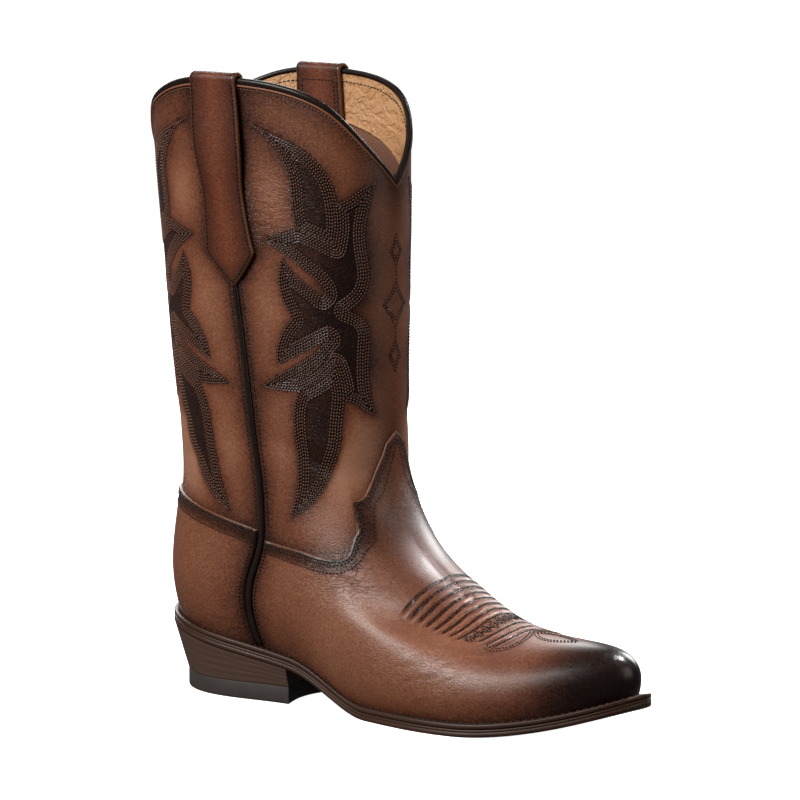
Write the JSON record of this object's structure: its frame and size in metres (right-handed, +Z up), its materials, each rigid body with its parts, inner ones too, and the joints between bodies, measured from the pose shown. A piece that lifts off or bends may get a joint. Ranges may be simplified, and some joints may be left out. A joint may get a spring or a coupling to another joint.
{
  "type": "western boot",
  "caption": "Right-foot western boot: stitched leather shaft with dipped collar and pull straps, vamp and heel counter overlays, narrow toe, welted sole and stacked heel.",
  "frame": {"origin": "on the floor, under the middle of the boot's bounding box", "axes": "+X towards the toe, +Y towards the inner side of the foot (the wearer's left), +Z up the shaft"},
  "size_m": [0.307, 0.1004, 0.3266],
  "materials": {
    "burnished_leather": "glossy burnished brown",
    "dark_trim_leather": "dark brown, satin",
    "sole_leather": "dark brown edge, satin",
    "heel_rubber": "matt",
    "insole_leather": "tan, matt"
  },
  "bodies": {
    "root": {"outsole": "sole_leather", "heel_stack": "sole_leather", "heel_cap": "heel_rubber", "welt": "sole_leather", "insole": "insole_leather", "upper": "burnished_leather", "vamp": "burnished_leather", "counter": "burnished_leather", "side_piping_outer": "dark_trim_leather", "side_piping_inner": "dark_trim_leather", "collar_binding": "dark_trim_leather", "pull_strap_outer": "burnished_leather", "pull_strap_inner": "burnished_leather"}
  },
  "joints": []
}
